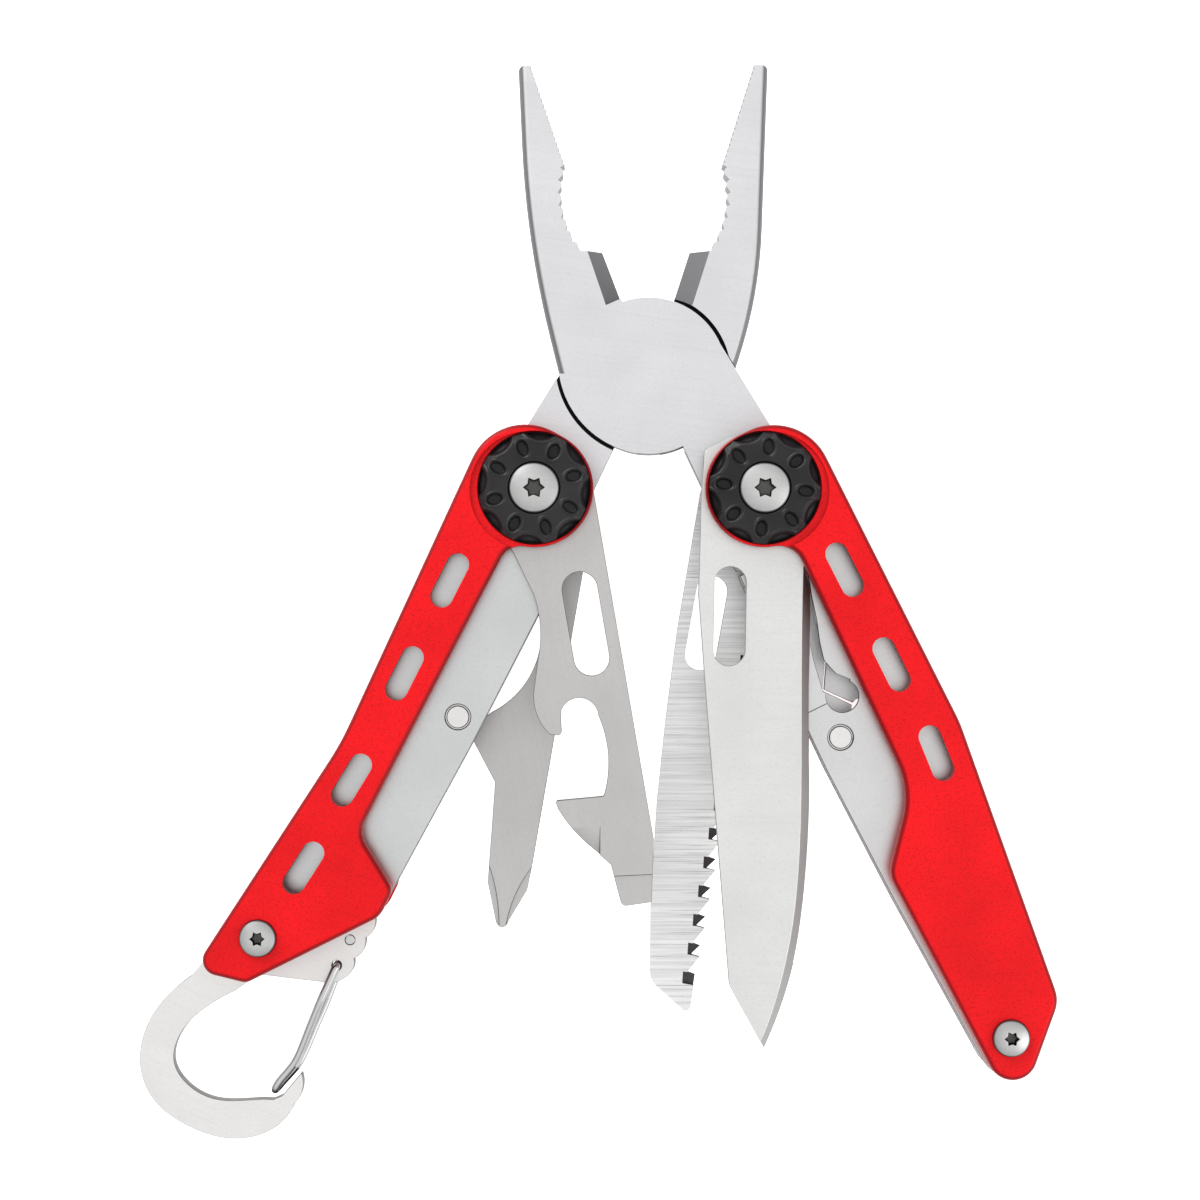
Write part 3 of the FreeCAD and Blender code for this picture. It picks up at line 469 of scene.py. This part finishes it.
# %% [markdown]
# ## Surfaces from grids of points
#
# Knobs, screws and wire are all round something: an axis or a path. Blender's own primitives could be
# sculpted into them, but a grid of points worked out with numpy gives exact and even surfaces.
# Rows follow the profile, columns go round and close into a ring.

# %% Helpers for grids
def grid_mesh(name, points):
    """A mesh from a grid of points (rows, columns, 3): columns close into a ring, faces join neighbours."""
    rows, columns = points.shape[:2]
    index = np.arange(rows * columns).reshape(rows, columns)
    right = np.roll(index, -1, axis=1)
    faces = np.stack([index[:-1], right[:-1], right[1:], index[1:]], axis=-1).reshape(-1, 4)
    mesh = bpy.data.meshes.new(name)
    mesh.vertices.add(rows * columns)
    mesh.vertices.foreach_set("co", points.reshape(-1).astype(np.float32))
    mesh.loops.add(faces.size)
    mesh.loops.foreach_set("vertex_index", faces.reshape(-1).astype(np.int32))
    mesh.polygons.add(len(faces))
    mesh.polygons.foreach_set("loop_start", np.arange(0, faces.size, 4, dtype=np.int32))
    mesh.polygons.foreach_set("use_smooth", np.ones(len(faces), dtype=bool))
    mesh.update(calc_edges=True)
    mesh.validate()
    thing = bpy.data.objects.new(name, mesh)
    bpy.context.scene.collection.objects.link(thing)
    return thing


def turned(centre, foot, up, r, angle, height):
    """Points of a turned surface: out from the centre by r at each angle, up from the foot by a height."""
    x, y = centre[0] + r * np.cos(angle) * MM, centre[1] + r * np.sin(angle) * MM
    return np.stack([x, y, foot + up * height * MM], axis=-1)


def smooth_step(value, low, high):
    """Zero below low, one above high, and a smooth rise between."""
    t = np.clip((value - low) / (high - low), 0, 1)
    return t * t * (3 - 2 * t)


def dense(profile, step):
    """A profile with points added so that no stretch is longer than step."""
    points = [np.array(profile[0], float)]
    for first, last in zip(profile, profile[1:]):
        first, last = np.array(first, float), np.array(last, float)
        count = max(1, int(np.ceil(np.linalg.norm(last - first) / step)))
        points += [first + (last - first) * i / count for i in range(1, count + 1)]
    return np.array(points)


print("helpers:", [helper.__name__ for helper in (grid_mesh, turned, smooth_step, dense)])

# %% [markdown]
# ## The grip knobs
#
# A black disc sits round each pivot screw, on both faces. Eight oval dimples lie radially in its top,
# and eight round hollows bite into its rim halfway between them. Cutting them out with booleans leaves
# hard edges, but moulded plastic has soft ones. So the disc is a turned profile whose height sinks by a
# smooth function of the distance to the nearest dimple and the nearest hollow.

# %% Shape of a knob
KNOB_R = 7.85
KNOB_PROFILE = [(1.6, 0.0), (1.6, 1.15), (3.6, 1.15), (3.68, 1.25), (3.7, 1.95), (3.8, 1.98), (4.05, 2.0),
                (6.6, 2.0), (6.9, 1.9), (7.68, 1.3), (KNOB_R, 1.1), (KNOB_R, 0.06), (7.79, 0.0), (1.6, 0.0)]
KNOB_STEP = 0.07
KNOB_COLUMNS = 720
PITCH = 2 * np.pi / 8
DIMPLE_AT, DIMPLE_LONG, DIMPLE_WIDE, DIMPLE_DEPTH, DIMPLE_LIP = 5.75, 1.35, 0.9, 0.8, 0.13
HOLLOW_AT, HOLLOW_DEPTH, HOLLOW_LIP = 9.3, 0.85, 0.10


def dimples(r, angle):
    """Depth of the ovals: full inside 0.6 of an oval, none at its edge, with a low lip just outside it."""
    nearest = (angle + PITCH / 2) % PITCH - PITCH / 2
    reach = np.sqrt(((r * np.cos(nearest) - DIMPLE_AT) / DIMPLE_LONG) ** 2
                    + (r * np.sin(nearest) / DIMPLE_WIDE) ** 2)
    lip = DIMPLE_LIP * np.exp(-((reach - 1.12) / 0.13) ** 2)
    return DIMPLE_DEPTH * (1 - smooth_step(reach, 0.6, 0.95)) - lip


def hollows(r, angle):
    """Depth of the rim's hollows: circles about points outside the rim, with a low lip just outside them."""
    nearest = angle % PITCH - PITCH / 2
    away = np.hypot(r * np.cos(nearest) - HOLLOW_AT, r * np.sin(nearest))
    lip = HOLLOW_LIP * np.exp(-((away - 3.0) / 0.16) ** 2)
    return HOLLOW_DEPTH * (1 - smooth_step(away, 2.3, 2.85)) - lip


def knob(name, centre, base, up, first_dimple, body, replaced):
    """A grip disc: the turned profile, its top lowered by dimples and hollows outside the screw head."""
    profile = dense(KNOB_PROFILE, KNOB_STEP)
    turns = np.linspace(0, 2 * np.pi, KNOB_COLUMNS, endpoint=False)
    r, angle = np.meshgrid(profile[:, 0], turns, indexing="ij")
    height = np.repeat(profile[:, 1:2], len(turns), axis=1)
    top = smooth_step(height, 0.9, 1.15) * smooth_step(r, 3.9, 4.2)
    height = height - (dimples(r, angle - first_dimple) + hollows(r, angle - first_dimple)) * top
    points = turned(centre, base, up, r, angle, height)
    thing = grid_mesh(name, points[:, ::-1] if up > 0 else points)
    thing.data.materials.append(GRIP)
    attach(thing, body)
    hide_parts(replaced)
    return thing


print("a knob's profile:", len(dense(KNOB_PROFILE, KNOB_STEP)), "rows")

# %% Four knobs
def knob_heights(node):
    """The seat height of a knob on the front or the rear, and which way it faces."""
    low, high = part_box(node)
    return (low[2], 1) if "front" in node else (high[2], -1)


for body, pivot, first in (("left_handle", left_pivot, 16.4), ("right_handle", right_pivot, -5.0)):
    for face in ("front", "rear"):
        node = body.split("_")[0] + "_" + face + "_knob"
        base, up = knob_heights(node)
        made = knob("grip_" + node, pivot, base, up, math.radians(first), body, node)
print("knobs:", len(made.data.vertices), "points each")

# %% [markdown]
# ## Domed screws with a star recess
#
# The handles are held by low domed screws that take a six-pointed driver. A boolean star in a dome
# shades badly, because its long thin faces meet the dome's curve. Here the rings themselves are
# star-shaped inside the recess and turn round towards the rim. A star's radius in each direction is the
# straight line from a point to a waist. Rings inside the star sink to the floor; those outside follow
# the dome. The recess has its own, much darker steel, which is painted shade.

# %% Shape of a screw
SCREW_COLUMNS = 192
FLOOR_SHARES = (0.02, 0.5, 0.97)    # the floor's rings, as shares of the star
STAR_WAIST = 0.66                   # the star's waist, against its points
STAR_DEPTH = 1.05
STAR_LIP = 1.03                     # the rounded lip round the star, against the star
DOME_SHARE = 0.42                   # how much of the head's height is dome
DOME_RINGS = 14
SHAFT_DEPTH = 2.0
STAR_RINGS = len(FLOOR_SHARES) + 2


def star_radius(angle, point, waist):
    """Radius of a six-pointed star in each direction: the straight line from a point to a waist."""
    sector = np.pi / 6
    inside = np.abs((angle + sector) % (2 * sector) - sector)
    wx, wy = waist * math.cos(sector), waist * math.sin(sector)
    return point * wy / (wy * np.cos(inside) - (wx - point) * np.sin(inside))


def screw_half(centre, top, up, head_r, head_t, shaft_r, star_r):
    """Points of one screw: recess floor, star wall, lip, dome, rolled edge, underside and shaft."""
    turns = np.linspace(0, 2 * np.pi, SCREW_COLUMNS, endpoint=False)
    star = star_radius(turns, star_r, star_r * STAR_WAIST)
    lip = star * STAR_LIP
    floor_height = head_t - STAR_DEPTH

    def domed(r):
        return head_t - head_t * DOME_SHARE * (r / head_r) ** 2

    recess = [(star * share, floor_height) for share in FLOOR_SHARES]
    recess += [(star, floor_height + 0.05), (star, domed(star) - 0.04), (lip, domed(lip))]
    shares = np.linspace(0.08, 0.96, DOME_RINGS)[:, None]
    dome = [(r, domed(r)) for r in lip * (1 - shares) + head_r * shares]
    edge = [(head_r * 0.985, domed(head_r) - 0.03), (head_r, domed(head_r) - 0.12), (head_r, 0.05),
            (head_r - 0.05, 0.0), (shaft_r, 0.0), (shaft_r, -SHAFT_DEPTH), (0.02, -SHAFT_DEPTH)]
    rings = recess + dome + edge
    r = np.stack([np.broadcast_to(ring[0], turns.shape) for ring in rings])
    height = np.stack([np.broadcast_to(ring[1], turns.shape) for ring in rings])
    points = turned(centre, top, up, r, turns, height - head_t)
    return points if up > 0 else points[:, ::-1]


print("a screw's star:", STAR_RINGS, "rings of", SCREW_COLUMNS, "points")

# %% Eight screws
def screws(name, centre, body, node, head_r, head_t, shaft_r, star_r):
    """A screw on each face of a handle, sharing one axis."""
    for label, top, up in (("front", TOP, 1), ("rear", BASE, -1)):
        points = screw_half(centre, top, up, head_r, head_t, shaft_r, star_r)
        thing = grid_mesh(name + "_" + label, points)
        thing.data.materials.append(SCREW)
        # The star recess takes the painted shade steel.
        thing.data.materials.append(PAINTED_RECESS_SHADE)
        slots = np.zeros(len(thing.data.polygons), dtype=np.int32)
        slots[:STAR_RINGS * SCREW_COLUMNS] = 1
        thing.data.polygons.foreach_set("material_index", slots)
        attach(thing, body)
        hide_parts(node)


PIVOT_SCREW = {"head_r": 3.5, "head_t": 1.45, "shaft_r": 1.45, "star_r": 1.5}
TAIL_SCREW = {"head_r": 2.55, "head_t": 1.2, "shaft_r": 1.15, "star_r": 1.05}
for body, pivot, tail in (("left_handle", left_pivot, left_tail), ("right_handle", right_pivot, right_tail)):
    side = body.split("_")[0]
    screws("pivot_screw_" + side, pivot, body, side + "_pivot_screws", **PIVOT_SCREW)
    screws("tail_screw_" + side, tail, body, side + "_tail_screws", **TAIL_SCREW)

# %% [markdown]
# ## The wire gate
#
# One length of round wire closes the hook. It starts in a hole of the hook plate, runs to the hook's
# nose, turns back in a narrow hairpin and ends in a second hole, so that it springs shut. A curve with a
# bevel could make it, but its ends and its swaged tip would need more pieces. A circle carried along a
# smooth path makes the whole wire as one skin.
# The path is drawn in the handle's frame, in millimetres: along the handle, across it, and up.

# %% The handle's frame
TAIL_IN_HANDLE = (73.9, -2.6)       # the tail screw: along the handle, and across it


def handle_frame(pivot, tail, offset):
    """Unit vectors along and across the left handle, from its pivot and a tail screw at a known offset."""
    way = (tail - pivot)[:2]
    turn = math.atan2(way[1], way[0]) - math.atan2(offset[1], offset[0])
    return (np.array([math.cos(turn), math.sin(turn), 0.0]),
            np.array([-math.sin(turn), math.cos(turn), 0.0]))


def in_handle(x, y):
    """A point of the left handle's frame at mid thickness, in metres."""
    return left_pivot + (along * x + across * y) * MM


along, across = handle_frame(left_pivot, left_tail, TAIL_IN_HANDLE)
hinge = joint_at("gate_hinge") - left_pivot
print("gate hinge in the handle frame", hinge @ along / MM, hinge @ across / MM)

# %% Path and skin of a wire
WIRE_R = 0.56
WIRE_PATH = [
    (72.9, 8.75, -0.9), (72.9, 8.75, 1.2), (73.05, 8.77, 1.72), (73.6, 8.81, 1.85), (76.0, 9.02, 1.85),
    (78.6, 9.25, 1.83), (82.0, 9.67, 1.45), (87.6, 10.33, 0.72), (91.4, 9.75, 0.62), (92.45, 9.72, 0.45),
    (92.85, 9.82, 0.0), (92.45, 9.98, -0.45), (91.4, 10.2, -0.62), (87.6, 10.9, -0.72),
    (82.0, 10.35, -1.45), (78.6, 10.0, -1.83), (76.0, 9.6, -1.85), (72.6, 9.15, -1.85),
    (69.6, 8.75, -1.85), (68.95, 8.62, -1.72), (68.8, 8.6, -1.2), (68.8, 8.6, 0.9), (68.8, 8.6, 1.16),
    (68.8, 8.6, 1.2)]
SPAN_STEPS = 8
WIRE_COLUMNS = 20
SWAGE = 0.2                         # how much thicker the pressed end is
SWAGE_LONG = (0.5 * MM, 1.0 * MM)   # full up to the first distance from the end, gone at the second
TIP = 0.02                          # radius that both ends close to, against the wire's


def smooth_path(points, per_span):
    """A curve through the points: on each span, a cubic whose slopes come from the neighbours."""
    p = np.array(points, float)
    before = np.vstack([2 * p[0] - p[1], p[:-1]])
    after = np.vstack([p[1:], 2 * p[-1] - p[-2]])
    slopes = (after - before) / 2
    t = np.linspace(0, 1, per_span, endpoint=False)[:, None]
    spans = []
    for a, b, u, v in zip(p[:-1], p[1:], slopes[:-1], slopes[1:]):
        u = u * min(1.0, np.linalg.norm(b - a) / max(np.linalg.norm(u), 1e-9))
        v = v * min(1.0, np.linalg.norm(b - a) / max(np.linalg.norm(v), 1e-9))
        spans.append((2 * t**3 - 3 * t**2 + 1) * a + (t**3 - 2 * t**2 + t) * u
                     + (-2 * t**3 + 3 * t**2) * b + (t**3 - t**2) * v)
    return np.vstack(spans + [p[-1:]])


def tube(name, path, radius, sides):
    """A round tube: a circle carried along the path without twisting, drawn in at both ends."""
    way = np.gradient(path, axis=0)
    way /= np.linalg.norm(way, axis=1, keepdims=True)
    side = np.cross(way[0], [0.3, 0.5, 0.8])
    sideways = []
    for direction in way:
        side = side - direction * (side @ direction)
        side = side / np.linalg.norm(side)
        sideways.append(side)
    sideways = np.array(sideways)
    upright = np.cross(way, sideways)
    turns = np.linspace(0, 2 * np.pi, sides, endpoint=False)
    sizes = np.full(len(path), radius)
    left = np.cumsum(np.linalg.norm(np.diff(path[::-1], axis=0), axis=1))[::-1]
    sizes[:-1] *= 1 + SWAGE * (1 - smooth_step(left, *SWAGE_LONG))
    sizes[-2] = radius * (1 + SWAGE / 2)
    sizes[0] = sizes[-1] = radius * TIP
    ring = sideways[:, None] * np.cos(turns)[None, :, None] + upright[:, None] * np.sin(turns)[None, :, None]
    return grid_mesh(name, path[:, None] + ring * sizes[:, None, None])


print("wire path:", len(smooth_path(WIRE_PATH, SPAN_STEPS)), "rows of", WIRE_COLUMNS, "points")

# %% The gate along its path
local = smooth_path(WIRE_PATH, SPAN_STEPS)
path = in_handle(local[:, :1], local[:, 1:2])
path[:, 2] = left_pivot[2] + local[:, 2] * MM
gate = tube("wire_gate", path, WIRE_R * MM, WIRE_COLUMNS)
gate.data.materials.append(WIRE)
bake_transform(gate)
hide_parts("gate_wire", "gate_wire_end")
print("wire gate", len(gate.data.vertices), "points")

# %% [markdown]
# ## Light
#
# Polished steel shows what is round it more than it shows a lamp. A bright, even white world gives the
# clean look of a product on white, and two large soft lamps from opposite sides add just enough
# difference for the bevels and dimples to read. A sky texture would tint the steel.

# %% World and lamps
WORLD_LIGHT = 0.90


def lamp(name, place, size, power):
    """A square soft light at a place, turned to the middle of the scene."""
    data = bpy.data.lights.new(name, "AREA")
    data.shape = "SQUARE"
    data.size = size
    data.energy = power
    light = bpy.data.objects.new(name, data)
    bpy.context.scene.collection.objects.link(light)
    way = -np.array(place, float)
    turn = math.atan2(way[1], way[0])
    tilt = math.acos(-way[2] / np.linalg.norm(way))
    light.location = place
    light.rotation_euler = (tilt, 0.0, turn - math.pi / 2)


studio = bpy.data.worlds.new("Studio")
bpy.context.scene.world = studio
studio.use_nodes = True
set_numbers(studio.node_tree.nodes["Background"], Color=colour(1.0, 1.0, 1.0), Strength=WORLD_LIGHT)
lamp("Key", (-0.45, 0.60, 0.35), 0.4, 5.0)
lamp("Fill", (0.60, -0.25, 0.40), 0.5, 2.0)
print("lamps:", [light.name for light in bpy.data.lights])

# %% [markdown]
# ## Floor
#
# The tool lies on white paper, just under its rear screws. Paper alone would go grey away from the lamps,
# so it also gives off a little light of its own and stays an even white.

# %% Paper
FLOOR_HALF = 2.0
FLOOR_DROP = 0.4 * MM
CORNERS = [(-1, -1), (1, -1), (1, 1), (-1, 1)]

floor_mesh = bpy.data.meshes.new("Floor")
floor_mesh.from_pydata([(x * FLOOR_HALF, y * FLOOR_HALF, 0) for x, y in CORNERS], [], [(0, 1, 2, 3)])
floor = bpy.data.objects.new("floor", floor_mesh)
bpy.context.scene.collection.objects.link(floor)
floor.location.z = BASE - FLOOR_DROP
paper, _, paper_skin = material_for("Paper")
set_numbers(paper_skin, Base_Color=colour(0.92, 0.92, 0.92), Roughness=0.9,
            Emission_Color=colour(1.0, 1.0, 1.0), Emission_Strength=0.7)
floor.data.materials.append(paper)
print("floor", FLOOR_DROP / MM, "mm under the screws")

# %% [markdown]
# ## Camera
#
# The tool is flat, so it is seen from straight above, from far enough away that the raised knobs hide
# little of the plates under them. The lens follows from the distance and the width that has to be seen.
# The standard view transform keeps the white paper white.

# %% Camera
AIM = rivet + np.array([-6.93, -31.86, 0.0]) * MM
DISTANCE = 0.420
VIEW_WIDTH = 0.17143
SENSOR = 36.0

camera_data = bpy.data.cameras.new("Camera")
camera_data.sensor_width = SENSOR
camera_data.lens = SENSOR * DISTANCE / VIEW_WIDTH
camera_data.clip_start = 0.01
camera = bpy.data.objects.new("Camera", camera_data)
bpy.context.scene.collection.objects.link(camera)
camera.location = (AIM[0], AIM[1], rivet[2] + DISTANCE)
bpy.context.scene.camera = camera
bpy.context.scene.view_settings.view_transform = "Standard"
print("camera at", tuple(camera.location))
